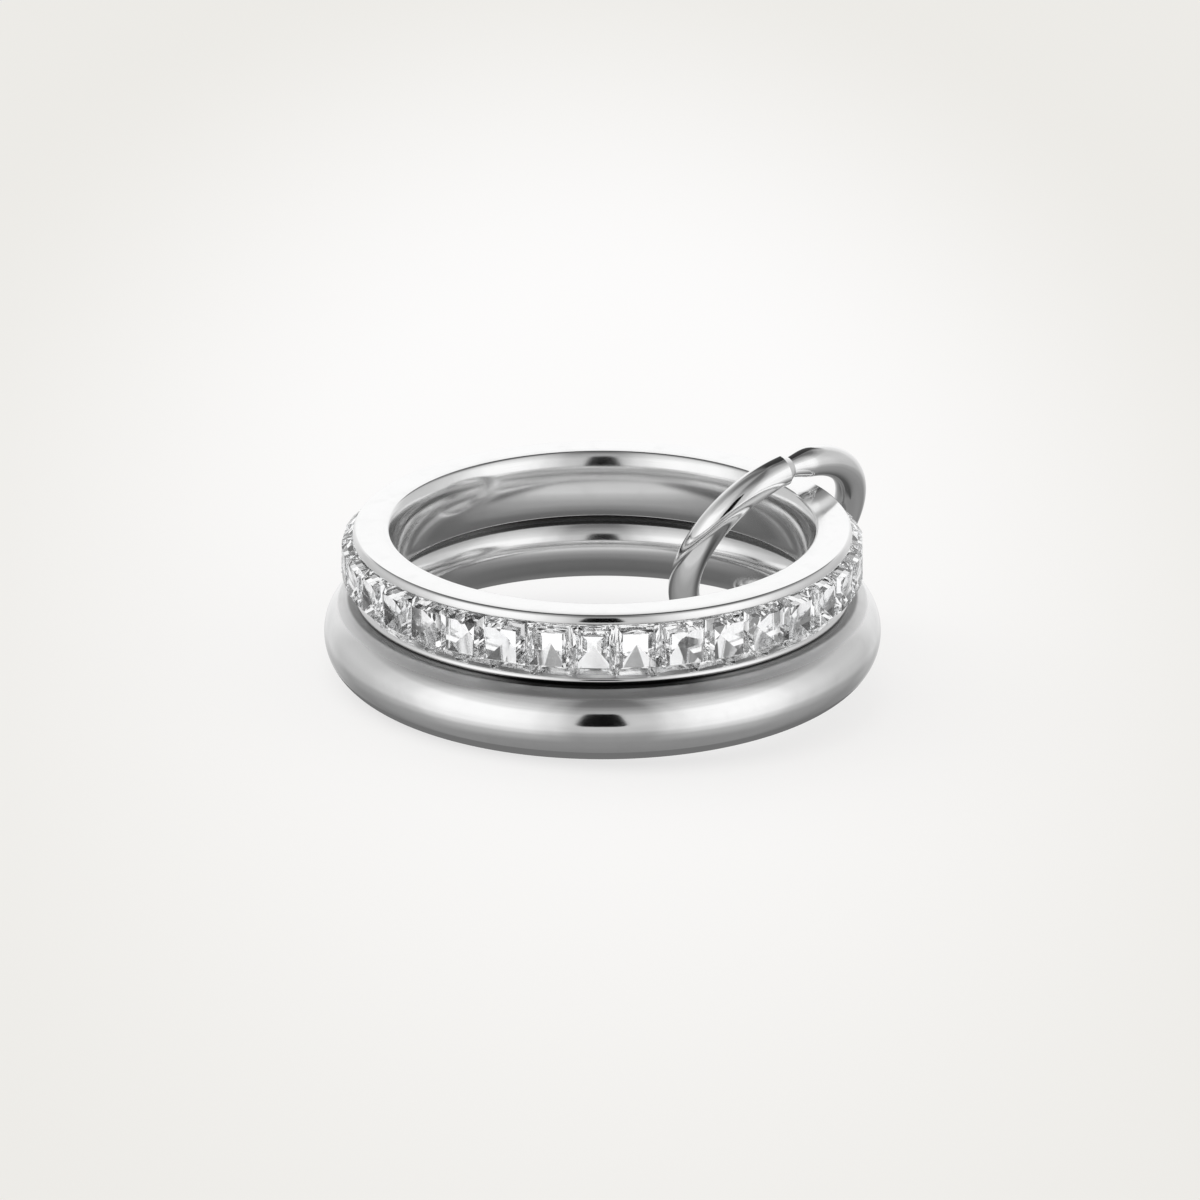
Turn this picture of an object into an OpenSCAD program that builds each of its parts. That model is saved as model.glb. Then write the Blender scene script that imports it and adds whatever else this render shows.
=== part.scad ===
// Two finger bands, one plain and one set with square stones, held together by
// a round-wire link that passes through both. All sizes are in millimetres.
//
// The bands share one axis, the stack axis. Each piece is drawn on that axis,
// with zero at the middle of the plain band's height, and at_rest() then leans
// the stack so that it lies on the floor: on the link, which passes under the
// plain band, and on the far edge of the plain band.

/* [Finger hole] */
// Diameter of the finger hole where the stone band's wall is fullest
finger_d = 16.66; // [14:0.1:22]
// Radius of the rounded inside wall of the stone band, seen in section
comfort_r = 3.1; // [2.4:0.1:6]

/* [Stone band] */
// Height of the stone band along the stack axis
stone_band_h = 2.82; // [2.6:0.01:3.4]
// Thickness of the stone band from its fullest inside wall to the rails' outer face
stone_band_t = 1.69; // [1.6:0.01:2]
// Height of the upper rail, above the stones
top_rail_h = 0.38; // [0.25:0.01:0.45]
// Height of the outer face of the lower rail, under the sloping ledge
low_rail_h = 0.28; // [0.25:0.01:0.4]
// Height of the ledge that slopes from the stones down to the lower rail
ledge_h = 0.31; // [0.1:0.01:0.35]
// Depth of the sloping ledge towards the axis
ledge_t = 0.42; // [0.1:0.01:0.5]
// Thickness of the wall behind the stones
channel_wall = 0.72; // [0.6:0.01:0.8]
// Radius of the polished edges of the rails
rail_edge_r = 0.1; // [0.03:0.01:0.12]

/* [Stones] */
// Number of stones round the band
stone_count = 36; // [30:1:40]
// Turn of the first stone from the front of the ring
first_stone_turn = -2.07; // [-5:0.01:5]
// Distance that the tables stand out past the rails
stone_stand_out = 0.45; // [0.3:0.01:0.55]
// Height of the crown, from the girdle to the table
crown_h = 0.4; // [0.2:0.01:0.42]
// Height of the straight girdle
girdle_h = 0.14; // [0.06:0.01:0.2]
// Usual depth of the pavilion, from the girdle to the culet
pavilion_h = 0.74; // [0.6:0.01:0.76]
// How much deeper or shallower than usual a pavilion may be, as a share
cut_variety = 0.1; // [0:0.01:0.1]
// Width of the table as a share of the stone's width
table_share = 0.76; // [0.5:0.01:0.85]
// Width at the step between the two rows of crown facets, as a share
step_share = 0.9; // [0.87:0.01:0.95]
// Gap between a stone and its neighbour or a rail
stone_gap = 0.04; // [0.03:0.01:0.08]
// Most that a stone leans in its seat
seat_lean = 1.8; // [0:0.1:2]

/* [Plain band] */
// Thickness of the plain band towards the axis
plain_t = 2.76; // [2:0.02:3]
// Height of the plain band along the stack axis
plain_h = 3.07; // [3.02:0.01:3.4]
// Inside diameter of the plain band
plain_inner_d = 17; // [16.8:0.1:22]
// Gap between the two bands
band_gap = 0.06; // [0.02:0.01:0.1]

/* [Link] */
// Diameter of the link's wire
wire_d = 1.28; // [1:0.02:1.4]
// Diameter of the hole through the link
link_hole_d = 7.32; // [7.3:0.02:9]
// Turn of the link round the stack, from the right towards the back
link_turn = 40.6; // [0:0.1:90]
// Distance of the link's centre from the stack axis
link_out = 8.99; // [8.9:0.01:9.1]
// Height of the link's centre over the middle of the plain band
link_up = 1.545; // [1.5:0.005:1.6]
// Lean of the link from upright
link_lean = 25.9; // [24:0.1:27]
// Place of the seam round the link, from its outer side over its top
seam_turn = 97; // [60:1:120]
// Depth of the groove where the ends of the wire meet
seam_depth = 0.12; // [0.05:0.01:0.2]
// Width of that groove at the surface of the wire
seam_w = 0.34; // [0.1:0.01:0.5]

/* [Hidden] */
stone_names = [for (i = [1 : stone_count]) str("stone_", i < 10 ? "0" : "", i)];
$fn = 96;

metal = "silver";
crystal = [0.94, 0.97, 1, 0.6];
over = 1;                                    // how far a cutter reaches past what it cuts

finger_r = finger_d / 2;
rail_r = finger_r + stone_band_t;
channel_r = finger_r + channel_wall;
comfort_x = finger_r + comfort_r;            // centre of the rounded inside wall
stone_base = plain_h / 2 + band_gap;         // underside of the stone band
stone_top = stone_base + stone_band_h;
channel_low = stone_base + low_rail_h + ledge_h;
channel_high = stone_top - top_rail_h;

table_r = rail_r + stone_stand_out;
girdle_r = table_r - crown_h - girdle_h;     // where the pavilion starts
stone_w = 2 * girdle_r * tan(180 / stone_count) - stone_gap;
stone_h = channel_high - channel_low - 2 * stone_gap;
stone_mid = (channel_high + channel_low) / 2;

plain_side_r = plain_t / 2;                  // both ends of the plain band's section
plain_mid_r = plain_inner_d / 2 + plain_side_r;
plain_flat = plain_h - plain_t;              // straight stretch between those ends

wire_r = wire_d / 2;
link_r = link_hole_d / 2 + wire_r;           // from the link's centre to that of its wire

// Resting lean. The floor touches the link on one side and the plain band on
// the other, so the lean is the one at which both reach equally far down.
lean_turn = link_turn + atan2(link_r * sin(link_lean), link_out);
function plain_reach(a) = plain_mid_r * sin(a) + plain_flat / 2 * cos(a) + plain_side_r;
function link_facing(a) = cos(link_lean) * sin(a) * sin(lean_turn - link_turn)
    + sin(link_lean) * cos(a);
function link_reach(a) = link_r * sqrt(1 - pow(link_facing(a), 2)) + wire_r
    - link_out * sin(a) * cos(lean_turn - link_turn) - link_up * cos(a);
function level_lean(low, high, steps = 30) =
    let (a = (low + high) / 2)
    steps == 0 ? a
    : link_reach(a) > plain_reach(a) ? level_lean(a, high, steps - 1)
    : level_lean(low, a, steps - 1);
rest_lean = level_lean(0, 10);

module at_rest() {
    translate([0, 0, plain_reach(rest_lean)])
        rotate(a = rest_lean, v = [sin(lean_turn), -cos(lean_turn), 0])
            children();
}

// Rectangle in a band's section, with round corners
module soft_box(x1, y1, x2, y2, r) {
    translate([x1 + r, y1]) square([x2 - x1 - 2 * r, y2 - y1]);
    translate([x1, y1 + r]) square([x2 - x1, y2 - y1 - 2 * r]);
    for (x = [x1 + r, x2 - r], y = [y1 + r, y2 - r])
        translate([x, y]) circle(r);
}

// Plain band: both ends of its section are round
module plain_section() {
    translate([plain_mid_r - plain_side_r, -plain_flat / 2])
        square([plain_t, plain_flat]);
    for (side = [-1, 1])
        translate([plain_mid_r, side * plain_flat / 2]) circle(plain_side_r);
}

module plain_band() {
    color(metal) rotate_extrude() plain_section();
}

// Stone band: a rounded inside wall, and an open channel between two rails
module stone_section() {
    difference() {
        intersection() {
            soft_box(finger_r, stone_base, rail_r, stone_top, rail_edge_r);
            translate([comfort_x, (stone_base + stone_top) / 2]) circle(comfort_r);
        }
        translate([channel_r, channel_low])
            square([stone_band_t + over, channel_high - channel_low]);
        polygon([
            [rail_r - ledge_t, channel_low],
            [rail_r, channel_low - ledge_h],
            [rail_r + over, channel_low - ledge_h],
            [rail_r + over, channel_high],
            [rail_r - ledge_t, channel_high]
        ]);
    }
}

module stone_band() {
    color(metal) rotate_extrude() stone_section();
}

// Connector link: round wire bent to a ring, with a groove where its ends meet
module link_wire() {
    rotate_extrude() translate([link_r, 0]) circle(wire_r);
}

module seam_groove() {
    rotate([0, 0, seam_turn]) translate([link_r, 0, 0]) rotate([90, 0, 0])
        rotate_extrude()
            polygon([
                [wire_r - seam_depth, 0],
                [wire_r + seam_depth, seam_w],
                [wire_r + seam_depth, -seam_w]
            ]);
}

module connector_link() {
    color(metal)
        rotate([0, 0, link_turn])
            translate([link_out, 0, link_up])
                rotate([90 + link_lean, 0, 0])
                    difference() {
                        link_wire();
                        seam_groove();
                    }
}

// Square stone with its table towards +Z: rings of corners from the table down
// to the girdle, and four pavilion facets down to the culet
rows = [
    // share of the width, height over the pavilion
    [table_share, girdle_h + crown_h],
    [step_share, girdle_h + crown_h * 0.55],
    [1, girdle_h],
    [1, 0]
];
corners = [[1, 1], [-1, 1], [-1, -1], [1, -1]];
row_points = [
    for (row = rows, c = corners)
        [c.x * row[0] * stone_w / 2, c.y * row[0] * stone_h / 2, row[1]]
];
last_row = 4 * (len(rows) - 1);              // first corner under the girdle
culet = len(row_points);
function next(k) = (k + 1) % 4;
table_face = [[3, 2, 1, 0]];
side_faces = [
    for (row = [0 : len(rows) - 2], k = [0 : 3])
        [4 * row + k, 4 * row + next(k), 4 * row + 4 + next(k), 4 * row + 4 + k]
];
pavilion_faces = [for (k = [0 : 3]) [last_row + k, last_row + next(k), culet]];

module cut_stone(depth) {
    color(crystal)
        polyhedron(
            concat(row_points, [[0, 0, -depth]]),
            concat(table_face, side_faces, pavilion_faces)
        );
}

// No two stones are cut and seated quite alike
module set_stone(number) {
    rotate([0, 0, first_stone_turn + (number - 1) * 360 / stone_count])
        translate([0, -girdle_r, stone_mid])
            rotate([90, 0, 0])
                rotate([seat_lean * sin(number * 137), seat_lean * cos(number * 97), 0])
                    cut_stone(pavilion_h * (1 + cut_variety * sin(number * 222)));
}

at_rest() plain_band();
at_rest() stone_band();
at_rest() connector_link();
for (i = [1 : stone_count])
    at_rest() set_stone(i);
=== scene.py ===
"""Two linked finger bands in polished silver, one set with clear square stones,
lying on a pale floor in a light tent."""

from math import asin, cos, pi, radians, sin, tan, tau

import bmesh
import bpy
from bpy.props import FloatProperty, FloatVectorProperty, PointerProperty
from mathutils import Matrix, Vector


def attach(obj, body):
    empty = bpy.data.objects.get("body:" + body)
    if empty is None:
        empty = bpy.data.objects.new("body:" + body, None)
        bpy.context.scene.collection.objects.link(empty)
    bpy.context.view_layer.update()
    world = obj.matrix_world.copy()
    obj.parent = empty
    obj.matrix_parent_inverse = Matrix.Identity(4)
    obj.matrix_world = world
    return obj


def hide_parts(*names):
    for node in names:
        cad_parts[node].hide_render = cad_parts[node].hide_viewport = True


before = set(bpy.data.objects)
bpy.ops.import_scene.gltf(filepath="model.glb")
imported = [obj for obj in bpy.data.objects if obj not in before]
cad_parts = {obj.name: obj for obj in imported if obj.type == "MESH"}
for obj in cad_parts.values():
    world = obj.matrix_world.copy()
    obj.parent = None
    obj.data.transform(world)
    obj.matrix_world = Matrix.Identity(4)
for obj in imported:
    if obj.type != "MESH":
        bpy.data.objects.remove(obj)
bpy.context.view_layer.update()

bl_info = {
    "name": "Linked Band Ring",
    "version": (1, 0, 0),
    "blender": (4, 5, 0),
    "location": "View3D > Sidebar > Band Ring",
    "description": "Dresses a linked pair of finger bands and sets its stage",
    "category": "Object",
}

MM = 0.001
# Corners that lie closer together than this are merged
SAME_PLACE = 0.001 * MM
# Where the bands meet, in millimetres: height over the plain band's middle, and distance
# from the axis
JOINT_HEIGHT = 1.55
JOINT_CREST = 9.88


# Properties


def length(name, description, default_mm):
    """A size property, given in millimetres and kept in metres."""
    return FloatProperty(
        name=name,
        description=description,
        default=default_mm * MM,
        min=0.0,
        precision=5,
        subtype="DISTANCE",
        unit="LENGTH",
    )


def turn(name, description, default_degrees):
    """An angle property, given in degrees."""
    return FloatProperty(
        name=name,
        description=description,
        default=radians(default_degrees),
        precision=3,
        subtype="ANGLE",
        unit="ROTATION",
    )


def share(name, description, default):
    """A property between nothing and all."""
    return FloatProperty(
        name=name,
        description=description,
        default=default,
        min=0.0,
        max=1.0,
        precision=4,
        subtype="FACTOR",
    )


def tint(name, description, default):
    """A colour property."""
    return FloatVectorProperty(
        name=name,
        description=description,
        default=default,
        min=0.0,
        max=1.0,
        size=3,
        subtype="COLOR",
    )


class StackRest(bpy.types.PropertyGroup):
    """How the stack of bands lies on the floor."""

    lean: turn("Lean", "Angle of the bands' shared axis from upright", 4.31698)
    heading: turn("Heading", "Side to which the stack rises, from the right to the back", 52.4008)
    lift: length("Lift", "Height of the plain band's centre over the floor", 2.27827)


class PlainBandSizes(bpy.types.PropertyGroup):
    """Sizes of the plain band."""

    hole: length("Hole", "Inside diameter", 17.0)
    thickness: length("Thickness", "Thickness of the section towards the axis", 2.76)
    height: length("Height", "Height of the section along the axis", 3.07)


class StoneBandSizes(bpy.types.PropertyGroup):
    """Sizes of the band that holds the stones."""

    hole: length("Hole", "Inside diameter where the wall is fullest", 16.66)
    base: length("Base", "Height of the band's underside over the plain band's middle", 1.555)
    height: length("Height", "Height of the band along the axis", 2.86)
    thickness: length("Thickness", "Thickness from the fullest wall to the upper rail", 1.73)
    wall: length("Channel wall", "Thickness of the wall behind the stones", 0.72)
    comfort: length("Comfort radius", "Radius of the inside wall at its middle", 5.3)
    comfort_reach: length("Comfort reach", "Half the height of that middle part", 0.82)
    comfort_end: length("End radius", "Radius of the inside wall near its ends", 1.5)
    top_rail: length("Upper rail", "Height of the upper rail", 0.38)
    top_round: length("Upper rail radius", "Radius of the upper rail's domed face", 0.62)
    channel_base: length("Channel base", "Height of the channel over the underside", 0.63)
    low_inset: length("Lower rail inset", "How far the lower rail stays inside the upper", 0.03)
    low_round: length("Lower rail radius", "Radius of the lower rail's domed face", 0.25)
    low_middle: length("Lower rail middle", "Height of that radius's centre over the base", 0.085)
    edge: length("Edge", "Radius of the rails' polished edges", 0.13)


class LinkSizes(bpy.types.PropertyGroup):
    """Sizes and place of the connector link."""

    wire: length("Wire", "Diameter of the wire", 1.28)
    hole: length("Hole", "Diameter of the hole through the link", 7.32)
    out: length("Out", "Distance of the link's centre from the stack axis", 8.99)
    up: length("Up", "Height of the link's centre over the plain band's middle", 1.545)
    heading: turn("Heading", "Turn of the link round the stack, from the right to the back", 40.6)
    lean: turn("Lean", "Lean of the link from upright", 25.9)
    seam: turn("Seam", "Place of the seam round the link, from its outer side over its top", 102.0)
    seam_depth: length("Seam depth", "Depth of the step where the wire's ends meet", 0.2)


class FinishLook(bpy.types.PropertyGroup):
    """Colours and finishes."""

    silver: tint("Silver", "Colour of the polished metal", (0.965, 0.965, 0.965))
    shade: tint("Worn silver", "Colour of the metal in its faint marks", (0.9, 0.9, 0.9))
    # Painted shade: the metal's colour is made dark where the bands meet, in place of the shade in
    # the joint
    painted_shade: tint("Painted shade", "Colour of the metal where the bands meet", (0.02, 0.02, 0.02))
    painted_shade_share: share("Thin painted shade", "Strength of the painted shade in its outer part", 0.5)
    polish: share("Polish", "Roughness of the cleanest metal", 0.085)
    haze: share("Haze", "Roughness added in the faint marks", 0.05)
    inside: share("Inside", "Roughness added on the inside walls", 0.045)
    relief: share("Relief", "Strength of the wheel's lines", 0.3)
    crystal: tint("Crystal", "Colour of the clear stones", (0.997, 0.998, 1.0))
    crystal_shade: tint("Crystal depth", "Colour in a stone's clouding", (0.98, 0.985, 0.99))
    girdle_frost: share("Girdle frost", "Roughness of the stones' unpolished girdles", 0.03)
    crystal_index: FloatProperty(
        name="Refractive index",
        description="Refractive index of the stones",
        default=1.65,
        min=1.3,
        max=2.5,
    )


class StageLook(bpy.types.PropertyGroup):
    """Camera, light tent and floor."""

    view_height: turn("View height", "Height of the camera over the plane of the bands", 20.72)
    pitch: turn("Pitch", "Angle at which the camera points below the upper face's centre", 0.723)
    yaw: turn("Yaw", "Angle at which the camera points left of that centre", 0.024)
    distance: length("Distance", "Distance of the camera from the upper face's centre", 240.0)
    lens: FloatProperty(name="Lens", description="Focal length", default=178.98, unit="CAMERA")
    tent: FloatProperty(name="Tent", description="Brightness of the light tent", default=1.025)
    roof_joint: share("Roof joint", "Darkness of the joint behind the tent's roof", 0.9)
    between_walls: share("Between walls", "Light lost from one inside wall to another", 0.75)
    stone_light: FloatProperty(
        name="Stone light", description="Brightness of the tent through the stones", default=1.1
    )
    stone_dark: share("Stone dark", "Brightness of the dark opening through the stones", 0.03)
    # The floor's painted pool of light runs from the floor edge colour to this colour round the
    # ring
    floor_near: tint("Floor", "Floor colour round the ring", (0.975, 0.971, 0.974))
    floor_far: tint("Floor edge", "Floor colour away from the ring", (0.843, 0.832, 0.805))
    floor_glow: share("Floor glow", "Share of the floor's light that takes no shadow", 0.74)


# Shared steps


def deselect_all():
    """Leave edit mode and select nothing."""
    active = bpy.context.view_layer.objects.active
    if active and active.mode != "OBJECT":
        bpy.ops.object.mode_set(mode="OBJECT")
    bpy.ops.object.select_all(action="DESELECT")


def edit_on():
    """Enter edit mode with nothing selected."""
    bpy.ops.object.mode_set(mode="EDIT")
    bpy.ops.mesh.select_mode(type="VERT")
    bpy.ops.mesh.select_all(action="DESELECT")


def edit_off():
    """Leave edit mode."""
    bpy.ops.object.mode_set(mode="OBJECT")


def pick_vertices(obj, wanted):
    """Select and count the vertices whose place passes the test, in edit mode."""
    mesh = bmesh.from_edit_mesh(obj.data)
    for vertex in mesh.verts:
        vertex.select_set(wanted(vertex.co))
    mesh.select_flush_mode()
    bmesh.update_edit_mesh(obj.data)
    return sum(vertex.select for vertex in mesh.verts)


def close_up():
    """Merge doubles and point all faces outwards, in edit mode."""
    bpy.ops.mesh.select_all(action="SELECT")
    bpy.ops.mesh.remove_doubles(threshold=SAME_PLACE)
    bpy.ops.mesh.normals_make_consistent(inside=False)


def stack_to_floor():
    """Place of the stack's own frame in the part's frame."""
    rest = bpy.context.scene.ring_rest
    axis = Vector((sin(rest.heading), -cos(rest.heading), 0))
    return Matrix.Translation((0, 0, rest.lift)) @ Matrix.Rotation(rest.lean, 4, axis)


def link_to_stack():
    """Place of the link's own frame in the stack's frame."""
    link = bpy.context.scene.ring_link
    return (
        Matrix.Rotation(link.heading, 4, "Z")
        @ Matrix.Translation((link.out, 0, link.up))
        @ Matrix.Rotation(pi / 2 + link.lean, 4, "X")
    )


def put_in_place(obj, place):
    """Move a piece to its place and leave that place in its mesh."""
    obj.matrix_world = place
    bpy.ops.object.transform_apply(location=True, rotation=True, scale=True)


def smooth(obj, angle):
    """Smooth shading that keeps sharp edges and true flats."""
    bpy.ops.object.shade_smooth_by_angle(angle=angle)
    bpy.ops.object.modifier_add(type="WEIGHTED_NORMAL")
    flats = obj.modifiers[-1]
    flats.keep_sharp = True
    bpy.ops.object.modifier_apply(modifier=flats.name)


def hand_over(obj, name, material, node):
    """Name a finished piece, give it its material and let it stand for its solid."""
    obj.name = name
    obj.data.name = name
    obj.data.materials.clear()
    obj.data.materials.append(material)
    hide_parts(node)
    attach(obj, "root")


# Node groups and materials


def wire_up(tree, *pairs):
    """Join node outputs to node inputs."""
    for output, target in pairs:
        tree.links.new(output, target)


def new_group(name, inputs, outputs):
    """A shader node group with its sockets; returns the tree, its input and output nodes."""
    tree = bpy.data.node_groups.new(name, "ShaderNodeTree")
    for label, kind, default in inputs:
        socket = tree.interface.new_socket(name=label, in_out="INPUT", socket_type=kind)
        if default is not None:
            socket.default_value = default
    for label, kind in outputs:
        tree.interface.new_socket(name=label, in_out="OUTPUT", socket_type=kind)
    return tree, tree.nodes.new("NodeGroupInput"), tree.nodes.new("NodeGroupOutput")


def feed(tree, term, socket):
    """Join an output to a socket, or set the socket to a number or colour."""
    if isinstance(term, bpy.types.NodeSocket):
        tree.links.new(term, socket)
    else:
        socket.default_value = term


def add_math(tree, operation, *terms):
    """A Math node; each term is an output or a number."""
    node = tree.nodes.new("ShaderNodeMath")
    node.operation = operation
    for term, socket in zip(terms, node.inputs):
        feed(tree, term, socket)
    return node.outputs["Value"]


def add_product(tree, first, *others):
    """All the terms multiplied with one another."""
    for other in others:
        first = add_math(tree, "MULTIPLY", first, other)
    return first


def add_mix(tree, part, first, second):
    """A value that goes from the first to the second as the part goes from 0 to 1."""
    node = tree.nodes.new("ShaderNodeMix")
    for label, term in (("Factor", part), ("A", first), ("B", second)):
        feed(tree, term, node.inputs[label])
    return node.outputs["Result"]


def add_colour_mix(tree, part, first, second):
    """A colour that goes from the first to the second as the part goes from 0 to 1."""
    node = tree.nodes.new("ShaderNodeMix")
    node.data_type = "RGBA"
    # The sockets for colours come after those for numbers and vectors, with the same names
    for index, term in ((0, part), (6, first), (7, second)):
        feed(tree, term, node.inputs[index])
    return node.outputs[2]


def add_place(tree, kind, location=(0, 0, 0), rotation=(0, 0, 0), scale=(1, 1, 1)):
    """Texture coordinates, measured from a given place, turn and unit."""
    coordinates = tree.nodes.new("ShaderNodeTexCoord")
    mapping = tree.nodes.new("ShaderNodeMapping")
    mapping.vector_type = "TEXTURE"
    for label, value in (("Location", location), ("Rotation", rotation), ("Scale", scale)):
        mapping.inputs[label].default_value = value
    tree.links.new(coordinates.outputs[kind], mapping.inputs["Vector"])
    return mapping.outputs["Vector"]


def add_split(tree, vector):
    """The three parts of a vector."""
    node = tree.nodes.new("ShaderNodeSeparateXYZ")
    tree.links.new(vector, node.inputs[0])
    return [node.outputs[axis] for axis in "XYZ"]


def add_distance(tree, x, y):
    """Distance from the axis."""
    squares = add_math(tree, "ADD", add_product(tree, x, x), add_product(tree, y, y))
    return add_math(tree, "SQRT", squares)


def add_noise(tree, vector, scale, detail=2.0, roughness=0.5):
    """Soft noise, with its scale in patches to the unit."""
    node = tree.nodes.new("ShaderNodeTexNoise")
    node.inputs["Scale"].default_value = scale
    node.inputs["Detail"].default_value = detail
    node.inputs["Roughness"].default_value = roughness
    tree.links.new(vector, node.inputs["Vector"])
    return node.outputs["Fac"]


def add_range(tree, value, low, high, new_low=0.0, new_high=1.0):
    """Stretch a value from one range to another, smoothly and clamped."""
    node = tree.nodes.new("ShaderNodeMapRange")
    node.interpolation_type = "SMOOTHSTEP"
    node.inputs["From Min"].default_value = low
    node.inputs["From Max"].default_value = high
    node.inputs["To Min"].default_value = new_low
    node.inputs["To Max"].default_value = new_high
    tree.links.new(value, node.inputs["Value"])
    return node.outputs["Result"]


# Noise of the wheel's lines, of the patches that they show in and of the haze, with scales
# in patches to the millimetre, and the part of each that counts
LINE_NOISE = {"scale": 26.0, "detail": 3.0, "roughness": 0.65}
LINE_RANGE = (0.45, 0.75)
PATCH_NOISE = {"scale": 0.55}
PATCH_RANGE = (0.42, 0.7)
HAZE_NOISE = {"scale": 1.3, "detail": 4.0, "roughness": 0.6}
HAZE_RANGE = (0.45, 0.8)
# Share of the haze in the wear
HAZE_SHARE = 0.6
# Depth of the wheel's lines
RELIEF_DEPTH = 0.002 * MM
# Distances over which a finish sets in, in millimetres: either side of the reach of the
# duller inside, up to the crest where the bands meet, and into the deep and thin painted shade
INSIDE_FADE = 0.15
CREST_FADE = 0.3
DEEP_FADE = 0.045
THIN_FADE = 0.14
# Roughness that the thin painted shade adds
PAINTED_SHADE_ROUGHNESS = 0.3
# Where the painted shade changes behind and in front, as the place from front to back over
# the distance from the axis, and how much of it there is on both sides of each change: the
# deep and the thin part, first inside the crest and then outside it
PAINTED_SHADE_BACK = (0.8, 0.98)
PAINTED_SHADE_FRONT = (-0.97, -0.86)
DEEP_PAINTED_SHADE = ((0.5, 0.9), (1.0, 0.6))
THIN_PAINTED_SHADE = ((0.5, 0.7), (1.0, 0.0))


def polish_marks_group():
    """Marks of the polishing wheel: fine lines round an axis, and faint cloudy haze; and painted
    shade where two bands meet.

    Takes a place in millimetres from the axis of the piece.
    """
    tree, source, result = new_group(
        "Polish Marks",
        [
            ("Place", "NodeSocketVector", None),
            ("Clean Colour", "NodeSocketColor", (0.9, 0.9, 0.9, 1.0)),
            ("Worn Colour", "NodeSocketColor", (0.8, 0.8, 0.8, 1.0)),
            ("Polish", "NodeSocketFloat", 0.03),
            ("Haze", "NodeSocketFloat", 0.05),
            ("Inside", "NodeSocketFloat", 0.05),
            ("Inside Reach", "NodeSocketFloat", 9.0),
            ("Painted Shade Colour", "NodeSocketColor", (0.03, 0.03, 0.03, 1.0)),
            ("Joint Height", "NodeSocketFloat", 0.0),
            ("Joint Width", "NodeSocketFloat", 0.0),
            ("Joint Outer Width", "NodeSocketFloat", 0.0),
            ("Joint Reach", "NodeSocketFloat", 0.0),
            ("Joint Shade", "NodeSocketFloat", 0.5),
            ("Joint Crest", "NodeSocketFloat", 9.9),
        ],
        [
            ("Colour", "NodeSocketColor"),
            ("Roughness", "NodeSocketFloat"),
            ("Height", "NodeSocketFloat"),
        ],
    )
    place = source.outputs["Place"]
    x, y, z = add_split(tree, place)
    out = add_distance(tree, x, y)

    # Lines that run all the way round depend on the distance from the axis and the height
    ring = tree.nodes.new("ShaderNodeCombineXYZ")
    wire_up(tree, (out, ring.inputs["X"]), (z, ring.inputs["Y"]))
    lines = add_noise(tree, ring.outputs[0], **LINE_NOISE)
    # They fade in and out along the way
    patches = add_range(tree, add_noise(tree, place, **PATCH_NOISE), *PATCH_RANGE)
    haze = add_range(tree, add_noise(tree, place, **HAZE_NOISE), *HAZE_RANGE)
    marks = add_product(tree, add_range(tree, lines, *LINE_RANGE), patches)
    worn = add_math(tree, "MAXIMUM", marks, add_product(tree, haze, HAZE_SHARE))
    rough = add_product(tree, worn, source.outputs["Haze"])
    rough = add_math(tree, "ADD", rough, source.outputs["Polish"])
    within = add_math(tree, "SUBTRACT", source.outputs["Inside Reach"], out)
    within = add_range(tree, within, -INSIDE_FADE, INSIDE_FADE)
    inside = add_product(tree, within, source.outputs["Inside"])
    rough = add_math(tree, "ADD", rough, inside)

    # Painted shade where two bands meet, made by darkening the metal's colour: a deep line, and a
    # thin film round it
    from_joint = add_math(tree, "SUBTRACT", z, source.outputs["Joint Height"])
    from_joint = add_math(tree, "ABSOLUTE", from_joint)
    outer = add_math(tree, "SUBTRACT", out, source.outputs["Joint Crest"])
    outer = add_range(tree, outer, -CREST_FADE, 0.0)
    width = add_mix(
        tree, outer, source.outputs["Joint Width"], source.outputs["Joint Outer Width"]
    )
    deep = add_math(tree, "SUBTRACT", width, from_joint)
    deep = add_range(tree, deep, 0.0, DEEP_FADE)
    thin = add_math(tree, "SUBTRACT", source.outputs["Joint Reach"], from_joint)
    thin = add_range(tree, thin, 0.0, THIN_FADE)
    rough = add_math(tree, "ADD", rough, add_product(tree, thin, PAINTED_SHADE_ROUGHNESS))
    thin = add_product(tree, thin, source.outputs["Joint Shade"])
    # Outside the crest most of the painted shade is at the front, and inside the crest at the back
    along = add_math(tree, "DIVIDE", y, out)
    parts = []
    for painted_shade, (inside_shares, outside_shares) in (
        (deep, DEEP_PAINTED_SHADE),
        (thin, THIN_PAINTED_SHADE),
    ):
        inside_part = add_range(tree, along, *PAINTED_SHADE_BACK, *inside_shares)
        outside_part = add_range(tree, along, *PAINTED_SHADE_FRONT, *outside_shares)
        part = add_mix(tree, outer, inside_part, outside_part)
        parts.append(add_product(tree, painted_shade, part))
    painted_shade = add_math(tree, "MAXIMUM", *parts)
    colour = add_colour_mix(
        tree, worn, source.outputs["Clean Colour"], source.outputs["Worn Colour"]
    )
    colour = add_colour_mix(tree, painted_shade, colour, source.outputs["Painted Shade Colour"])
    wire_up(
        tree,
        (colour, result.inputs["Colour"]),
        (rough, result.inputs["Roughness"]),
        (add_product(tree, lines, patches), result.inputs["Height"]),
    )
    return tree


# Noise of the clouding in the stones, the part of it that counts, and the roughness it adds
CLOUD_NOISE = {"scale": 0.9}
CLOUD_RANGE = (0.35, 0.7)
CLOUD_ROUGHNESS = 0.012
# The stones' girdles: distance from the axis, half the width of their unpolished strip and
# the fade at its edges, in millimetres
GIRDLE_OUT = 10.02
GIRDLE_WIDTH = 0.09
GIRDLE_FADE = 0.02


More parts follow.
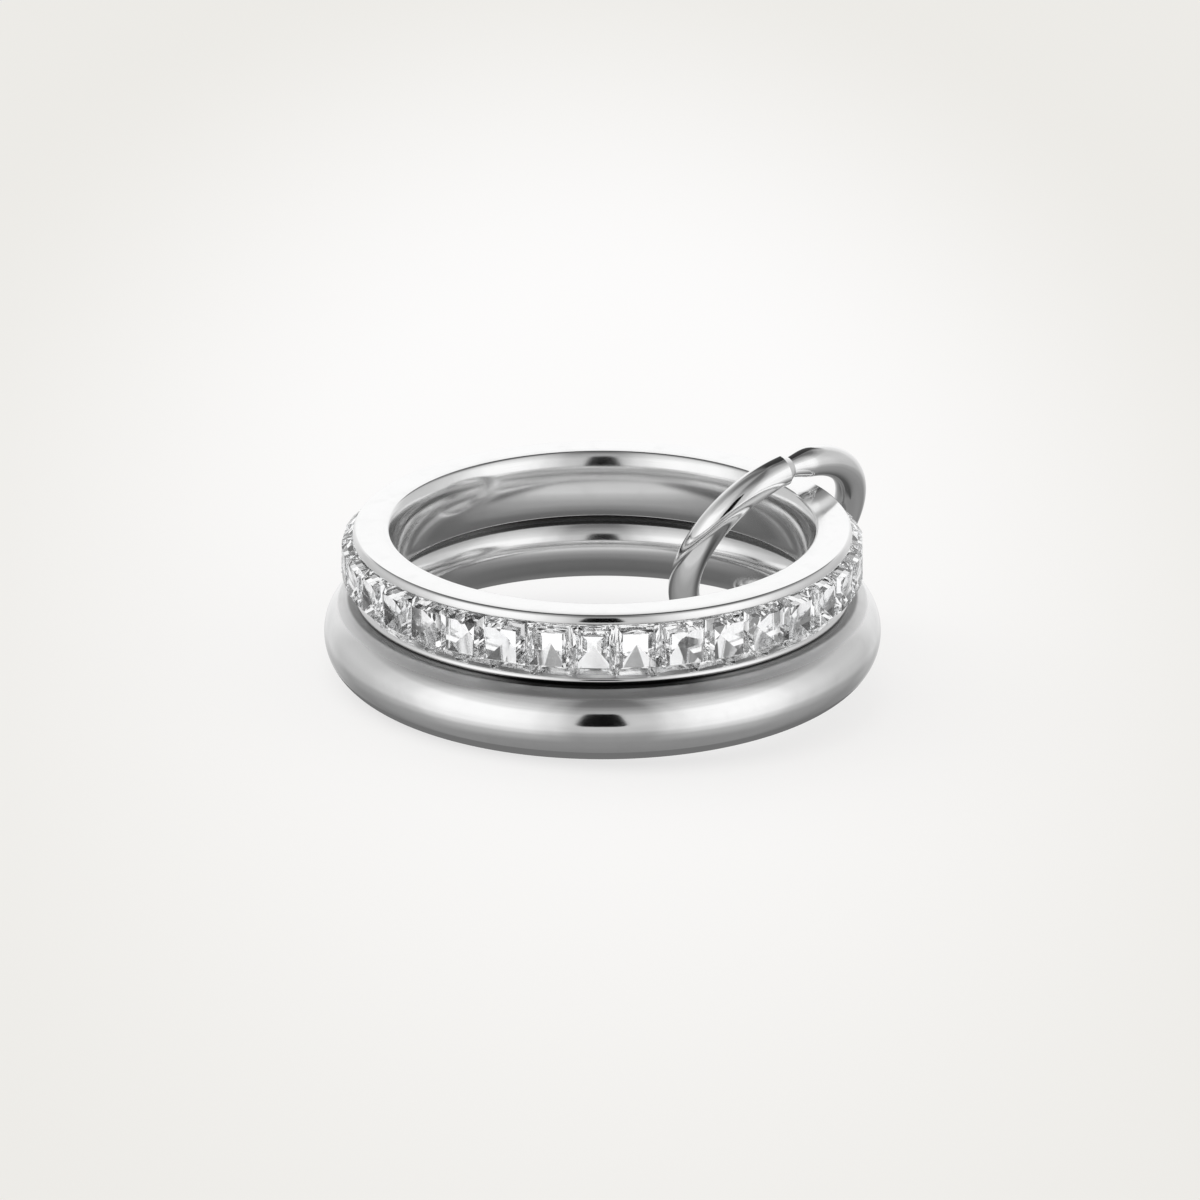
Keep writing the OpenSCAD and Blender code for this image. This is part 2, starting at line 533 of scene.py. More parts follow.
def crystal_depth_group():
    """Faint clouding that makes one stone differ from the next, and unpolished girdles.

    Takes a place in millimetres from the axis of the band.
    """
    tree, source, result = new_group(
        "Crystal Depth",
        [
            ("Place", "NodeSocketVector", None),
            ("Clear Colour", "NodeSocketColor", (1.0, 1.0, 1.0, 1.0)),
            ("Deep Colour", "NodeSocketColor", (0.9, 0.9, 0.9, 1.0)),
            ("Girdle Out", "NodeSocketFloat", 10.0),
            ("Girdle Width", "NodeSocketFloat", 0.1),
            ("Girdle Frost", "NodeSocketFloat", 0.4),
        ],
        [("Colour", "NodeSocketColor"), ("Roughness", "NodeSocketFloat")],
    )
    place = source.outputs["Place"]
    cloud = add_range(tree, add_noise(tree, place, **CLOUD_NOISE), *CLOUD_RANGE)
    x, y, _z = add_split(tree, place)
    off = add_math(tree, "SUBTRACT", add_distance(tree, x, y), source.outputs["Girdle Out"])
    off = add_math(tree, "ABSOLUTE", off)
    frost = add_math(tree, "SUBTRACT", source.outputs["Girdle Width"], off)
    frost = add_range(tree, frost, 0.0, GIRDLE_FADE)
    frost = add_product(tree, frost, source.outputs["Girdle Frost"])
    rough = add_math(tree, "ADD", add_product(tree, cloud, CLOUD_ROUGHNESS), frost)
    colour = add_colour_mix(
        tree, cloud, source.outputs["Clear Colour"], source.outputs["Deep Colour"]
    )
    wire_up(
        tree,
        (colour, result.inputs["Colour"]),
        (rough, result.inputs["Roughness"]),
    )
    return tree


def shared_group(name, make):
    """A node group, made when it is first asked for."""
    return bpy.data.node_groups.get(name) or make()


def new_material(name, group, place):
    """A material whose group reads the piece's place in millimetres from a given frame."""
    material = bpy.data.materials.new(name)
    material.use_nodes = True
    tree = material.node_tree
    shader = tree.nodes["Principled BSDF"]
    from_place = add_place(
        tree, "Object", place.to_translation(), place.to_euler("XYZ"), (MM, MM, MM)
    )
    effect = tree.nodes.new("ShaderNodeGroup")
    effect.node_tree = group
    wire_up(
        tree,
        (from_place, effect.inputs["Place"]),
        (effect.outputs["Colour"], shader.inputs["Base Color"]),
        (effect.outputs["Roughness"], shader.inputs["Roughness"]),
    )
    return material, tree, shader, effect


def empty_material(name):
    """A material without any nodes, and its tree."""
    material = bpy.data.materials.new(name)
    material.use_nodes = True
    material.node_tree.nodes.clear()
    return material, material.node_tree


def silver_material(name, place, inside_reach=0.0, joint_widths=(-1.0, -1.0), joint_reach=-1.0):
    """Mirror polished silver with wheel marks round the axis of a place.

    Sizes are in millimetres. The metal is duller up to inside_reach from that axis. It has
    painted shade up to the joint widths, inside and outside the crest, from the height where
    the bands meet, and more thinly up to joint_reach. With no widths and no reach it has none.
    """
    look = bpy.context.scene.ring_finish
    group = shared_group("Polish Marks", polish_marks_group)
    material, tree, shader, effect = new_material(name, group, place)
    shader.inputs["Metallic"].default_value = 1.0
    for label, value in (
        ("Clean Colour", (*look.silver, 1.0)),
        ("Worn Colour", (*look.shade, 1.0)),
        ("Polish", look.polish),
        ("Haze", look.haze),
        ("Inside", look.inside),
        ("Inside Reach", inside_reach),
        ("Painted Shade Colour", (*look.painted_shade, 1.0)),
        ("Joint Height", JOINT_HEIGHT),
        ("Joint Crest", JOINT_CREST),
        ("Joint Width", joint_widths[0]),
        ("Joint Outer Width", joint_widths[1]),
        ("Joint Reach", joint_reach),
        ("Joint Shade", look.painted_shade_share),
    ):
        effect.inputs[label].default_value = value
    bump = tree.nodes.new("ShaderNodeBump")
    bump.inputs["Strength"].default_value = look.relief
    bump.inputs["Distance"].default_value = RELIEF_DEPTH
    wire_up(
        tree,
        (effect.outputs["Height"], bump.inputs["Height"]),
        (bump.outputs["Normal"], shader.inputs["Normal"]),
    )
    return material


def crystal_material(name):
    """Clear faceted stone."""
    look = bpy.context.scene.ring_finish
    group = shared_group("Crystal Depth", crystal_depth_group)
    material, _tree, shader, effect = new_material(name, group, stack_to_floor())
    for label, value in (
        ("Clear Colour", (*look.crystal, 1.0)),
        ("Deep Colour", (*look.crystal_shade, 1.0)),
        ("Girdle Out", GIRDLE_OUT),
        ("Girdle Width", GIRDLE_WIDTH),
        ("Girdle Frost", look.girdle_frost),
    ):
        effect.inputs[label].default_value = value
    shader.inputs["IOR"].default_value = look.crystal_index
    shader.inputs["Transmission Weight"].default_value = 1.0
    return material


# Pieces


class RING_OT_plain_band(bpy.types.Operator):
    """Model the polished plain band and let it stand for its solid"""

    bl_idname = "ring.plain_band"
    bl_label = "Plain Band"

    SECTION_CORNERS = 96
    STEPS = 256

    def execute(self, context):
        size = context.scene.ring_plain
        centre = (size.hole + size.thickness) / 2
        deselect_all()
        bpy.ops.mesh.primitive_circle_add(
            vertices=self.SECTION_CORNERS,
            radius=size.thickness / 2,
            location=(centre, 0, 0),
            rotation=(pi / 2, 0, 0),
        )
        band = context.object
        bpy.ops.object.transform_apply(location=True, rotation=True, scale=True)
        edit_on()
        bpy.ops.mesh.select_all(action="SELECT")
        bpy.ops.transform.resize(
            value=(1, 1, size.height / size.thickness), center_override=(centre, 0, 0)
        )
        bpy.ops.mesh.spin(steps=self.STEPS, angle=tau, center=(0, 0, 0), axis=(0, 0, 1))
        close_up()
        edit_off()
        put_in_place(band, stack_to_floor())
        bpy.ops.object.shade_smooth()
        # Painted shade where the stone band rests on it, up to the joint widths and the joint
        # reach
        silver = silver_material(
            "plain_band_silver",
            stack_to_floor(),
            inside_reach=10.75,
            joint_widths=(0.06, 0.11),
            joint_reach=0.4,
        )
        hand_over(band, "polished_plain_band", silver, "plain_band")
        return {"FINISHED"}


class RING_OT_stone_band(bpy.types.Operator):
    """Model the polished band that holds the stones and let it stand for its solid"""

    bl_idname = "ring.stone_band"
    bl_label = "Stone Band"

    COMFORT_CORNERS = 256
    STEPS = 288
    # Angle at which the upper rail's top edge meets its domed face, and slope of the ledge
    # over the lower rail
    TOP_LEAN = radians(27)
    LEDGE_SLOPE = radians(50)
    # Angle from which an edge is sharp
    SHARP = radians(30)

    def execute(self, context):
        size = context.scene.ring_stone_band
        low = size.base
        high = low + size.height
        middle = (low + high) / 2
        comfort_x = size.hole / 2 + size.comfort

        deselect_all()
        bpy.ops.mesh.primitive_circle_add(
            vertices=self.COMFORT_CORNERS,
            radius=size.comfort,
            location=(comfort_x, 0, middle),
            rotation=(pi / 2, 0, 0),
        )
        band = context.object
        bpy.ops.object.transform_apply(location=True, rotation=True, scale=True)
        edit_on()
        self.cut((0, 0, middle + size.comfort_reach), (0, 0, 1))
        self.cut((0, 0, middle - size.comfort_reach), (0, 0, -1))
        self.cut((comfort_x, 0, 0), (1, 0, 0))

        # From the upper end of what is left of the circle, the outline goes round the section
        outline = self.outline(size, low, high)
        here = Vector((outline[0][0], 0, outline[0][1]))
        self.pick(band, here)
        for x, z in outline[1:]:
            there = Vector((x, 0, z))
            bpy.ops.mesh.extrude_vertices_move(TRANSFORM_OT_translate={"value": there - here})
            here = there
        bpy.ops.mesh.select_all(action="SELECT")
        bpy.ops.mesh.remove_doubles(threshold=SAME_PLACE)
        bpy.ops.mesh.select_all(action="SELECT")
        bpy.ops.mesh.spin(steps=self.STEPS, angle=tau, center=(0, 0, 0), axis=(0, 0, 1))
        close_up()
        edit_off()
        put_in_place(band, stack_to_floor())
        smooth(band, self.SHARP)
        # Painted shade where it rests on the plain band, up to the joint widths
        silver = silver_material(
            "stone_band_silver",
            stack_to_floor(),
            inside_reach=8.95,
            joint_widths=(0.05, 0.03),
        )
        hand_over(band, "polished_stone_band", silver, "stone_band")
        return {"FINISHED"}

    @classmethod
    def outline(cls, size, low, high):
        """Points of the section from the inside wall over the rails and back."""
        fullest = size.hole / 2
        rail = fullest + size.thickness
        edge = size.edge
        half = size.height / 2
        middle = (low + high) / 2
        channel_low = low + size.channel_base
        channel_high = high - size.top_rail

        # Inside wall: its lean where the end radius starts, and at the band's edges
        lean = asin(size.comfort_reach / size.comfort)
        start_x = fullest + size.comfort * (1 - cos(lean))
        end_x = start_x + size.comfort_end * cos(lean)
        end_rise = size.comfort_reach - size.comfort_end * sin(lean)
        end_lean = asin((half - edge - end_rise) / (size.comfort_end - edge))
        edge_x = end_x - (size.comfort_end - edge) * cos(end_lean)
        # Upper rail: from its top edge down the domed face to the channel
        top_lean = cls.TOP_LEAN
        top_x = rail - size.top_round + (size.top_round - edge) * cos(top_lean)
        top_z = high - edge - (size.top_round - edge) * sin(top_lean)
        foot_lean = asin((channel_high + edge / 2 - top_z) / (size.top_round - edge / 2))
        foot_x = rail - size.top_round + (size.top_round - edge / 2) * cos(foot_lean)
        # Lower rail: from the ledge's slope down to the underside
        slope = cls.LEDGE_SLOPE
        bead_x = rail - size.low_inset - size.low_round
        bead_z = low + size.low_middle
        under = asin((low + edge - bead_z) / (size.low_round - edge))
        under_x = bead_x + (size.low_round - edge) * cos(under)
        ledge_top_z = bead_z + size.low_round * sin(slope)
        ledge_x = bead_x + size.low_round * cos(slope) - (channel_low - ledge_top_z) * tan(slope)

        def arc(x, z, radius, start, stop, steps):
            angles = [start + (stop - start) * step / steps for step in range(steps + 1)]
            return [(x + radius * cos(a), z + radius * sin(a)) for a in angles]

        up = pi / 2
        return [
            *arc(end_x, middle + end_rise, size.comfort_end, pi - lean, pi - end_lean, 8),
            *arc(edge_x, high - edge, edge, pi - end_lean, up, 5),
            *arc(top_x, high - edge, edge, up, top_lean, 5),
            *arc(rail - size.top_round, top_z, size.top_round, top_lean, foot_lean, 12),
            *arc(foot_x, channel_high + edge / 2, edge / 2, foot_lean, -up, 5),
            (fullest + size.wall, channel_high),
            (fullest + size.wall, channel_low),
            (ledge_x, channel_low),
            *arc(bead_x, bead_z, size.low_round, slope, under, 14),
            *arc(under_x, low + edge, edge, under, -up, 5),
            *arc(edge_x, low + edge, edge, -up, end_lean - pi, 5),
            *arc(end_x, middle - end_rise, size.comfort_end, end_lean - pi, lean - pi, 8),
        ]

    @staticmethod
    def cut(point, outwards):
        """Cut the outline at a plane and clear what lies outside it."""
        bpy.ops.mesh.select_all(action="SELECT")
        bpy.ops.mesh.bisect(
            plane_co=point, plane_no=outwards, clear_outer=True, threshold=SAME_PLACE / 10
        )

    @staticmethod
    def pick(band, place):
        """Select the one corner of the outline at a place."""
        found = pick_vertices(band, lambda co: (co - place).length < 2 * SAME_PLACE)
        if found != 1:
            raise RuntimeError(f"{found} corners of the stone band's outline at {place}")


class RING_OT_connector_link(bpy.types.Operator):
    """Model the connector link and the seam in its wire, and let it stand for its solid"""

    bl_idname = "ring.connector_link"
    bl_label = "Connector Link"

    STEPS = 160
    WIRE_CORNERS = 72
    # One end of the wire is cut off square, and the other is dressed down to meet it: shares
    # of the seam's depth, from the cut back along the wire
    DRESSED = (0.5, 1.0, 0.85, 0.65, 0.45, 0.25, 0.1)
    # Angle from which an edge is sharp
    SHARP = radians(25)

    def execute(self, context):
        size = context.scene.ring_link
        wire = size.wire / 2
        round_link = size.hole / 2 + wire
        deselect_all()
        bpy.ops.mesh.primitive_torus_add(
            major_segments=self.STEPS,
            minor_segments=self.WIRE_CORNERS,
            major_radius=round_link,
            minor_radius=wire,
            location=(0, 0, 0),
            rotation=(0, 0, size.seam),
        )
        link = context.object
        bpy.ops.object.transform_apply(location=True, rotation=True, scale=True)
        edit_on()
        for step, part in enumerate(self.DRESSED, start=1):
            self.dress(link, size, step, part)
        bpy.ops.mesh.select_all(action="SELECT")
        bpy.ops.mesh.normals_make_consistent(inside=False)
        edit_off()
        place = stack_to_floor() @ link_to_stack()
        put_in_place(link, place)
        bpy.ops.object.shade_smooth_by_angle(angle=self.SHARP)
        silver = silver_material("link_silver", place)
        hand_over(link, "polished_link", silver, "connector_link")
        return {"FINISHED"}

    @classmethod
    def wire_centre(cls, size, step):
        """Middle of the wire some steps before the seam."""
        turned = size.seam - step * tau / cls.STEPS
        return Vector((cos(turned), sin(turned), 0)) * (size.hole + size.wire) / 2

    @classmethod
    def dress(cls, link, size, step, part):
        """Make the wire thinner some steps before the seam, by a part of the seam's depth."""
        centre = cls.wire_centre(size, step)
        along = Vector((0, 0, 1)).cross(centre).normalized()
        near = centre.length * sin(pi / cls.STEPS) / 2
        pick_vertices(link, lambda co: abs(co.dot(along)) < near and co.dot(centre) > 0)
        thin = 1 - part * size.seam_depth / (size.wire / 2)
        bpy.ops.transform.resize(value=(thin, thin, thin), center_override=centre)


class RING_OT_stones(bpy.types.Operator):
    """Give every square stone its clear crystal"""

    bl_idname = "ring.stones"
    bl_label = "Stones"

    def execute(self, context):
        crystal = crystal_material("clear_crystal")
        stones = [
            node
            for name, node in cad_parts.items()
            if name.startswith("stone_") and name != "stone_band"
        ]
        if not stones:
            raise RuntimeError("the packed model has no stones")
        for stone in stones:
            for slot in stone.material_slots:
                slot.material = crystal
        return {"FINISHED"}


# Stage


def add_ramp(tree, place, stops, low, high):
    """A smooth grey ramp over pairs of place and value, with the places from low to high."""
    ramp = tree.nodes.new("ShaderNodeValToRGB")
    ramp.color_ramp.interpolation = "EASE"
    elements = ramp.color_ramp.elements
    while len(elements) > 1:
        elements.remove(elements[-1])
    for index, (position, value) in enumerate(stops):
        share_along = (position - low) / (high - low)
        stop = elements.new(share_along) if index else elements[0]
        stop.position = share_along
        stop.color = (value, value, value, 1.0)
    place = add_math(tree, "DIVIDE", add_math(tree, "SUBTRACT", place, low), high - low)
    tree.links.new(place, ramp.inputs["Fac"])
    return ramp.outputs["Color"]


def darken(tree, light, part):
    """Take a part of the light away."""
    return add_product(tree, light, add_math(tree, "SUBTRACT", 1.0, part))


# Brightness of the tent by height: the height in degrees, the wall's light all round,
# and what the two lamps beside the camera add to it
TENT_HEIGHTS = [
    (-85, 0.22, 0.00),
    (-55, 0.25, 0.00),
    (-35, 0.28, 0.13),
    (-25, 0.34, 0.32),
    (-15, 0.50, 0.39),
    (5, 0.57, 0.41),
    (25, 0.53, 0.45),
    (35, 0.38, 0.36),
    (45, 0.27, 0.33),
    (55, 0.16, 0.30),
    (65, 0.14, 0.24),
    (85, 0.13, 0.12),
]
# Share of the lamps' light by side: degrees away from the camera, and the share
LAMP_SIDES = [
    (15, 0.0),
    (25, 0.5),
    (35, 0.9),
    (45, 1.0),
    (65, 1.0),
    (75, 0.8),
    (85, 0.4),
    (95, 0.2),
    (110, 0.0),
    (130, 0.0),
    (150, 0.5),
    (170, 1.0),
]
# Round the opening the lamps stand some degrees to the right, and further round no more
LAMP_OFFSET = 4.0
LAMP_OFFSET_SIDE = (40.0, 65.0)
# The dark opening that the camera looks through: its middle and half sizes in degrees,
# how much each degree upwards takes from its half width, how square its corners are, the
# share of its size in which its edge fades, and the light in it
OPENING_MIDDLE = (-0.3, 14.3)
OPENING_HALF = (8.9, 17.6)
OPENING_TAPER = 0.09
OPENING_SQUARE = 6.0
OPENING_EDGE = (0.85, 1.15)
OPENING_LIGHT = 0.006
# Dark joint between the tent's roof and its back wall: the heights at which it begins and
# ends, and the sides at which it sets in, in degrees
ROOF_JOINT_LOW = (25.0, 33.0)
ROOF_JOINT_HIGH = (72.0, 86.0)
ROOF_JOINT_SIDE = (135.0, 160.0)
# Shade of the bands on the floor under and behind them: its strength, and the heights and
# sides over which it changes, in degrees
UNDER_SHADE = 0.68
UNDER_HEIGHT = (-60.0, -8.0)
UNDER_SIDE = (105.0, 165.0)
# Light is lost between the inside walls over these numbers of reflections, and only
# towards the tent's heights under these, in degrees
BETWEEN_WALLS_COUNT = (2.0, 6.0)
BETWEEN_WALLS_HEIGHT = (20.0, 45.0)
# Brightness of the tent through the stones by height, and by side, both in degrees
STONE_HEIGHTS = [(-85, 0.08), (-42, 0.1), (-24, 1.0), (36, 1.0), (48, 0.15), (68, 0.1), (86, 0.5)]
STONE_SIDES = [
    (-114, 1.0),
    (-102, 0.05),
    (-58, 0.05),
    (-50, 1.0),
    (50, 1.0),
    (58, 0.22),
    (102, 0.22),
    (114, 1.0),
]
# What the floor inside the ring sends up: place from front to back in millimetres, light
RING_FLOOR = [
    (-8.5, 0.50),
    (-6.0, 0.58),
    (-3.5, 0.60),
    (-1.5, 0.62),
    (0.0, 0.47),
    (2.5, 0.33),
    (5.0, 0.23),
    (7.0, 0.14),
    (9.5, 0.11),
]
RING_FLOOR_RADIUS = 10.9
RING_FLOOR_CORNERS = 96
# Where it grows dark towards both sides, and the light left there; where it grows dark
# under the plain band, and the light there; distances in millimetres from the middle
RING_FLOOR_SIDE = (5.2, 8.0)
RING_FLOOR_SIDE_LIGHT = 0.2
RING_FLOOR_EDGE = (8.6, 9.9)
RING_FLOOR_EDGE_LIGHT = 0.165
# Size of the wide floor, in metres
FLOOR_SIZE = 4.0
# Painted pool of light on the floor: how far its middle lies behind the ring, its half sizes
# sideways and from front to back, all in millimetres, and the share at which it is at its palest
FLOOR_MIDDLE = 33.4
FLOOR_REACH = (35.4, 118.0)
FLOOR_FULL = 0.8
# Soft lamp at the back left: its turns from straight above and its width in degrees
SOFT_LAMP_TURNS = (-15, -28)
SOFT_LAMP_WIDTH = 70
SOFT_LAMP_ENERGY = 0.6
# The stones send light through many facets before it leaves them
BOUNCES = 24


class RING_OT_stage(bpy.types.Operator):
    """Set the camera, the light tent and the pale floor"""

    bl_idname = "ring.stage"
    bl_label = "Stage"

    def execute(self, context):
        look = context.scene.ring_stage
        self.add_camera(context, look)
        self.add_tent(context, look)
        self.add_floor(look)
        self.add_ring_floor()
        self.add_lamp()
        context.scene.view_settings.view_transform = "Standard"
        context.scene.cycles.max_bounces = BOUNCES
        context.scene.cycles.glossy_bounces = BOUNCES
        context.scene.cycles.transmission_bounces = BOUNCES
        return {"FINISHED"}

    @staticmethod
    def add_camera(context, look):
        """A camera level with the bands, aimed near the middle of the upper face."""
        band = context.scene.ring_stone_band
        target = Vector((0, 0, band.base + band.height))
        towards = Vector((0, -cos(look.view_height), sin(look.view_height)))
        place = Matrix.Translation(target + look.distance * towards)
        aim = Matrix.Rotation(pi / 2 - look.view_height, 4, "X")
        trim = Matrix.Rotation(look.yaw, 4, "Y") @ Matrix.Rotation(-look.pitch, 4, "X")
        deselect_all()
        bpy.ops.object.camera_add()
        camera = context.object
        camera.matrix_world = stack_to_floor() @ place @ aim @ trim
        camera.data.lens = look.lens
        camera.data.sensor_width = 36.0
        camera.data.clip_start = 0.005
        camera.data.clip_end = 50.0
        context.scene.camera = camera

    @classmethod
    def add_tent(cls, context, look):
        """A light tent seen only in reflections; all else sees its even pale wall."""
        world = bpy.data.worlds.new("light_tent")
        context.scene.world = world
        world.use_nodes = True
        tree = world.node_tree
        tree.nodes.clear()
        height, turned = cls.tent_directions(tree)
        path = tree.nodes.new("ShaderNodeLightPath")
        opening = cls.tent_opening(tree, height, turned)
        light = cls.tent_light(tree, height, turned, look.roof_joint)
        light = add_product(tree, light, opening, look.tent)
        # It looks darker from one inside wall by way of another
        lost = add_product(
            tree,
            add_range(tree, path.outputs["Glossy Depth"], *BETWEEN_WALLS_COUNT),
            add_range(tree, height, *BETWEEN_WALLS_HEIGHT, 1.0, 0.0),
            look.between_walls,
        )
        light = darken(tree, light, lost)
        # Through the stones it looks brighter and more contrasted, with the same opening
        clear = add_product(
            tree,
            add_math(tree, "MAXIMUM", opening, look.stone_dark),
            add_ramp(tree, height, STONE_HEIGHTS, -90, 90),
            add_ramp(tree, turned, STONE_SIDES, -180, 180),
            look.stone_light,
        )
        light = add_mix(tree, path.outputs["Transmission Depth"], light, clear)

        tent = tree.nodes.new("ShaderNodeBackground")
        pale = tree.nodes.new("ShaderNodeBackground")
        pale.inputs["Color"].default_value = (*look.floor_far, 1.0)
        even = add_math(
            tree, "MAXIMUM", path.outputs["Is Camera Ray"], path.outputs["Is Diffuse Ray"]
        )
        mix = tree.nodes.new("ShaderNodeMixShader")
        output = tree.nodes.new("ShaderNodeOutputWorld")
        wire_up(
            tree,
            (light, tent.inputs["Color"]),
            (even, mix.inputs["Fac"]),
            (tent.outputs[0], mix.inputs[1]),
            (pale.outputs[0], mix.inputs[2]),
            (mix.outputs[0], output.inputs["Surface"]),
        )

    @staticmethod
    def tent_directions(tree):
        """Height over the plane of the bands, and turn from the front, in degrees."""
        turn_of_stack = stack_to_floor().to_euler("XYZ")
        x, y, z = add_split(tree, add_place(tree, "Generated", rotation=turn_of_stack))
        height = add_math(tree, "ARCSINE", z)
        turned = add_math(tree, "ARCTAN2", x, add_product(tree, y, -1.0))
        return [add_product(tree, angle, 180 / pi) for angle in (height, turned)]

    @staticmethod
    def tent_light(tree, height, turned, roof_joint):
        """Light of the tent's wall and lamps, less the roof's joint and the bands' shade."""
        side = add_math(tree, "ABSOLUTE", turned)
        offset = add_range(tree, side, *LAMP_OFFSET_SIDE, LAMP_OFFSET, 0.0)
        lamp_side = add_math(tree, "ABSOLUTE", add_math(tree, "SUBTRACT", turned, offset))
        wall = [(place, wall) for place, wall, _lamps in TENT_HEIGHTS]
        lamps = [(place, lamps) for place, _wall, lamps in TENT_HEIGHTS]
        wall, lamps = (add_ramp(tree, height, stops, -90, 90) for stops in (wall, lamps))
        lamps = add_product(tree, lamps, add_ramp(tree, lamp_side, LAMP_SIDES, 0, 180))
        light = add_math(tree, "ADD", wall, lamps)
        joint = add_product(
            tree,
            add_range(tree, height, *ROOF_JOINT_LOW),
            add_range(tree, height, *ROOF_JOINT_HIGH, 1.0, 0.0),
            add_range(tree, side, *ROOF_JOINT_SIDE),
            roof_joint,
        )
        light = darken(tree, light, joint)
        under = add_product(
            tree,
            add_range(tree, height, *UNDER_HEIGHT, UNDER_SHADE, 0.0),
            add_range(tree, side, *UNDER_SIDE),
        )
        return darken(tree, light, under)

    @staticmethod
    def tent_opening(tree, height, turned):
        """Light left by the opening, a box with round corners that narrows upwards."""
        over = add_math(tree, "SUBTRACT", height, OPENING_MIDDLE[1])
        width = add_math(tree, "ADD", add_product(tree, over, -OPENING_TAPER), OPENING_HALF[0])
        across = add_math(tree, "SUBTRACT", turned, OPENING_MIDDLE[0])
        parts = []
        for distance, half in ((across, width), (over, OPENING_HALF[1])):
            part = add_math(tree, "ABSOLUTE", add_math(tree, "DIVIDE", distance, half))
            parts.append(add_math(tree, "POWER", part, OPENING_SQUARE))
        reach = add_math(tree, "ADD", *parts)
        return add_range(tree, reach, *OPENING_EDGE, OPENING_LIGHT, 1.0)

    @staticmethod
    def add_floor(look):
        """A wide pale floor with a painted pool of light, palest round and behind the ring."""
        deselect_all()
        bpy.ops.mesh.primitive_plane_add(size=FLOOR_SIZE, location=(0, 0, 0))
        floor = bpy.context.object
        floor.name = "floor"
        floor.visible_glossy = False
        floor.visible_transmission = False
        material, tree = empty_material("pale_floor")
        reach_x, reach_y = FLOOR_REACH
        place = add_place(
            tree,
            "Object",
            location=(0, FLOOR_MIDDLE * MM, 0),
            scale=(reach_x * MM, reach_y * MM, 1),
        )
        # Painted pool of light: the floor's colour is palest round and behind the ring
        pool_of_light = tree.nodes.new("ShaderNodeTexGradient")
        pool_of_light.gradient_type = "SPHERICAL"
        glow = tree.nodes.new("ShaderNodeEmission")
        paper = tree.nodes.new("ShaderNodeBsdfDiffuse")
        colour = add_colour_mix(
            tree,
            add_range(tree, pool_of_light.outputs["Fac"], 0.0, FLOOR_FULL),
            (*look.floor_far, 1.0),
            (*look.floor_near, 1.0),
        )
        mix = tree.nodes.new("ShaderNodeMixShader")
        mix.inputs["Fac"].default_value = look.floor_glow
        output = tree.nodes.new("ShaderNodeOutputMaterial")
        wire_up(
            tree,
            (place, pool_of_light.inputs["Vector"]),
            (colour, glow.inputs["Color"]),
            (colour, paper.inputs["Color"]),
            (paper.outputs[0], mix.inputs[1]),
            (glow.outputs[0], mix.inputs[2]),
            (mix.outputs[0], output.inputs["Surface"]),
        )
        floor.data.materials.append(material)

    @staticmethod
    def add_ring_floor():
        """The floor inside the ring as the polished walls see it, shaded by the bands."""
        deselect_all()
        bpy.ops.mesh.primitive_circle_add(
            vertices=RING_FLOOR_CORNERS,
            radius=RING_FLOOR_RADIUS * MM,
            fill_type="NGON",
            location=(0, 0, 2 * SAME_PLACE),
        )
        disc = bpy.context.object
        disc.name = "ring_floor"
        disc.visible_camera = False
        disc.visible_diffuse = False
        disc.visible_transmission = False
        disc.visible_shadow = False
        material, tree = empty_material("ring_floor_light")
        glow = tree.nodes.new("ShaderNodeEmission")
        output = tree.nodes.new("ShaderNodeOutputMaterial")
        x, y, _z = add_split(tree, add_place(tree, "Object", scale=(MM, MM, MM)))
        light = add_ramp(tree, y, RING_FLOOR, -RING_FLOOR_RADIUS, RING_FLOOR_RADIUS)
        side = add_math(tree, "ABSOLUTE", x)
        side = add_range(tree, side, *RING_FLOOR_SIDE, 1.0, RING_FLOOR_SIDE_LIGHT)
        edge = add_range(tree, add_distance(tree, x, y), *RING_FLOOR_EDGE)
        light = add_mix(tree, edge, add_product(tree, light, side), RING_FLOOR_EDGE_LIGHT)
        wire_up(
            tree,
            (light, glow.inputs["Color"]),
            (glow.outputs[0], output.inputs["Surface"]),
        )
        disc.data.materials.append(material)

    @staticmethod
    def add_lamp():
        """A wide soft lamp high at the back left, which only the floor answers to."""
        deselect_all()
        back, left = SOFT_LAMP_TURNS
        bpy.ops.object.light_add(type="SUN", rotation=(radians(back), radians(left), 0))
        lamp = bpy.context.object
        lamp.name = "soft_lamp"
        lamp.data.angle = radians(SOFT_LAMP_WIDTH)
        lamp.data.energy = SOFT_LAMP_ENERGY
        lamp.visible_glossy = False
        lamp.visible_transmission = False


# Panel


class RING_PT_panel(bpy.types.Panel):
    """Lists the pieces and the stage"""

    bl_idname = "RING_PT_panel"
    bl_label = "Band Ring"
    bl_space_type = "VIEW_3D"
    bl_region_type = "UI"
    bl_category = "Band Ring"

    def draw(self, context):
        column = self.layout.column(align=True)
        for operator in OPERATORS:
            column.operator(operator.bl_idname)
        for name in GROUPS:
            box = self.layout.box()
            settings = getattr(context.scene, name)
            for key in settings.bl_rna.properties.keys():
                if key not in ("rna_type", "name"):
                    box.prop(settings, key)


GROUPS = {
    "ring_rest": StackRest,
    "ring_plain": PlainBandSizes,
    "ring_stone_band": StoneBandSizes,
    "ring_link": LinkSizes,
    "ring_finish": FinishLook,
    "ring_stage": StageLook,
}
OPERATORS = (
    RING_OT_plain_band,
    RING_OT_stone_band,
    RING_OT_connector_link,
    RING_OT_stones,
    RING_OT_stage,
)


def register():
    for group in GROUPS.values():
        bpy.utils.register_class(group)
    for name, group in GROUPS.items():
        setattr(bpy.types.Scene, name, PointerProperty(type=group))
    for operator in OPERATORS:
        bpy.utils.register_class(operator)
    bpy.utils.register_class(RING_PT_panel)


def unregister():
    bpy.utils.unregister_class(RING_PT_panel)
    for operator in reversed(OPERATORS):
        bpy.utils.unregister_class(operator)
    for name, group in GROUPS.items():
        delattr(bpy.types.Scene, name)
        bpy.utils.unregister_class(group)


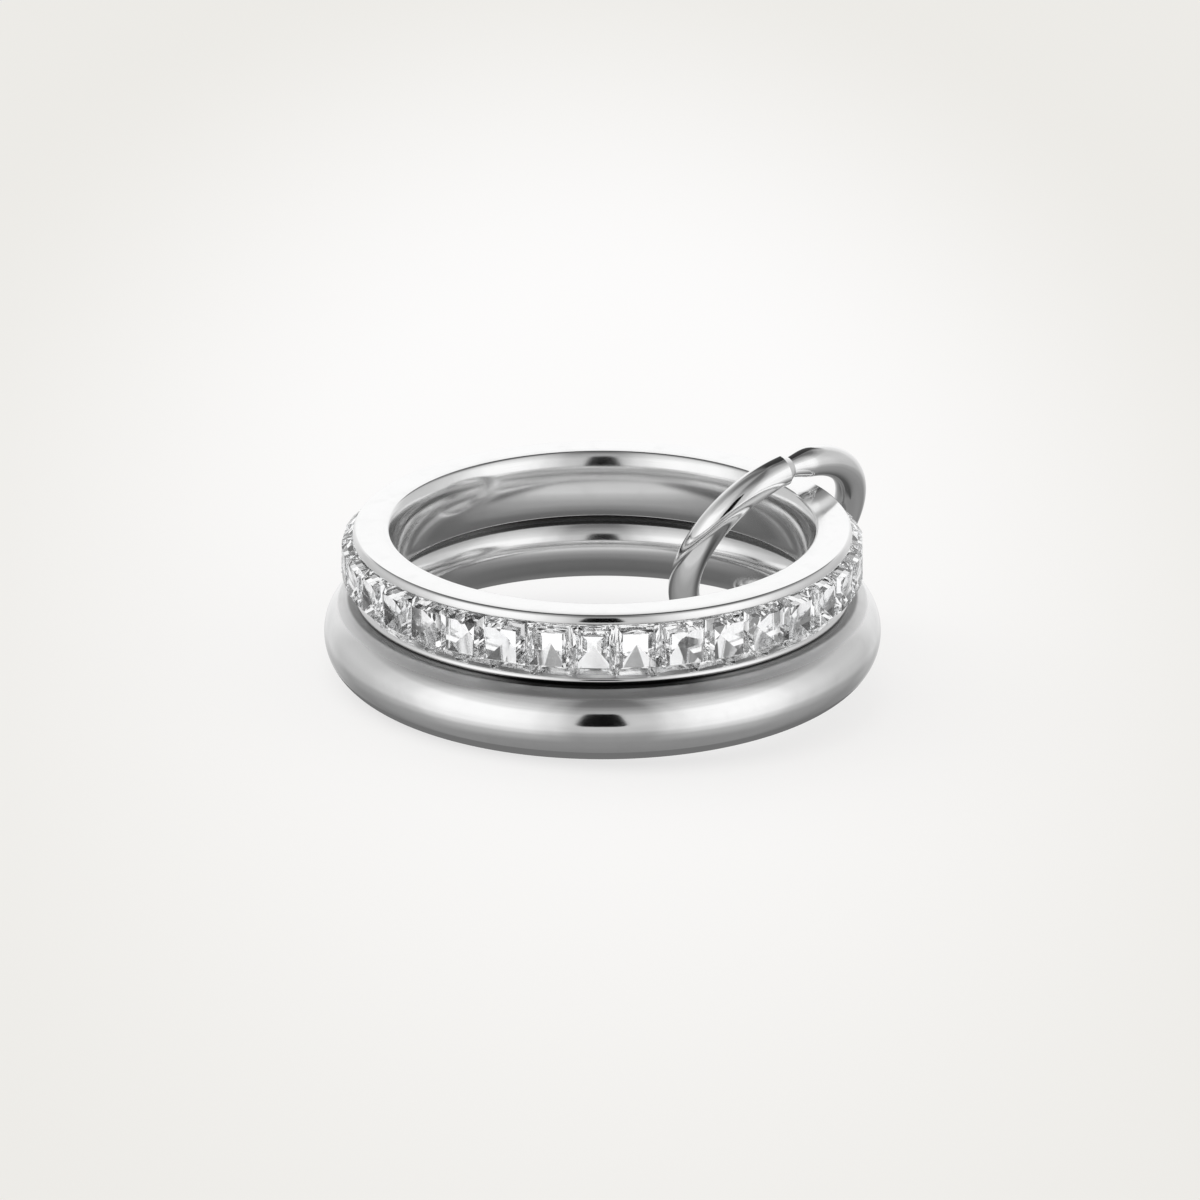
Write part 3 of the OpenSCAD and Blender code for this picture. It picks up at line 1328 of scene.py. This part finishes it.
def main():
    register()
    bpy.ops.ring.plain_band()
    bpy.ops.ring.stone_band()
    bpy.ops.ring.connector_link()
    bpy.ops.ring.stones()
    bpy.ops.ring.stage()


if __name__ == "__main__":
    main()
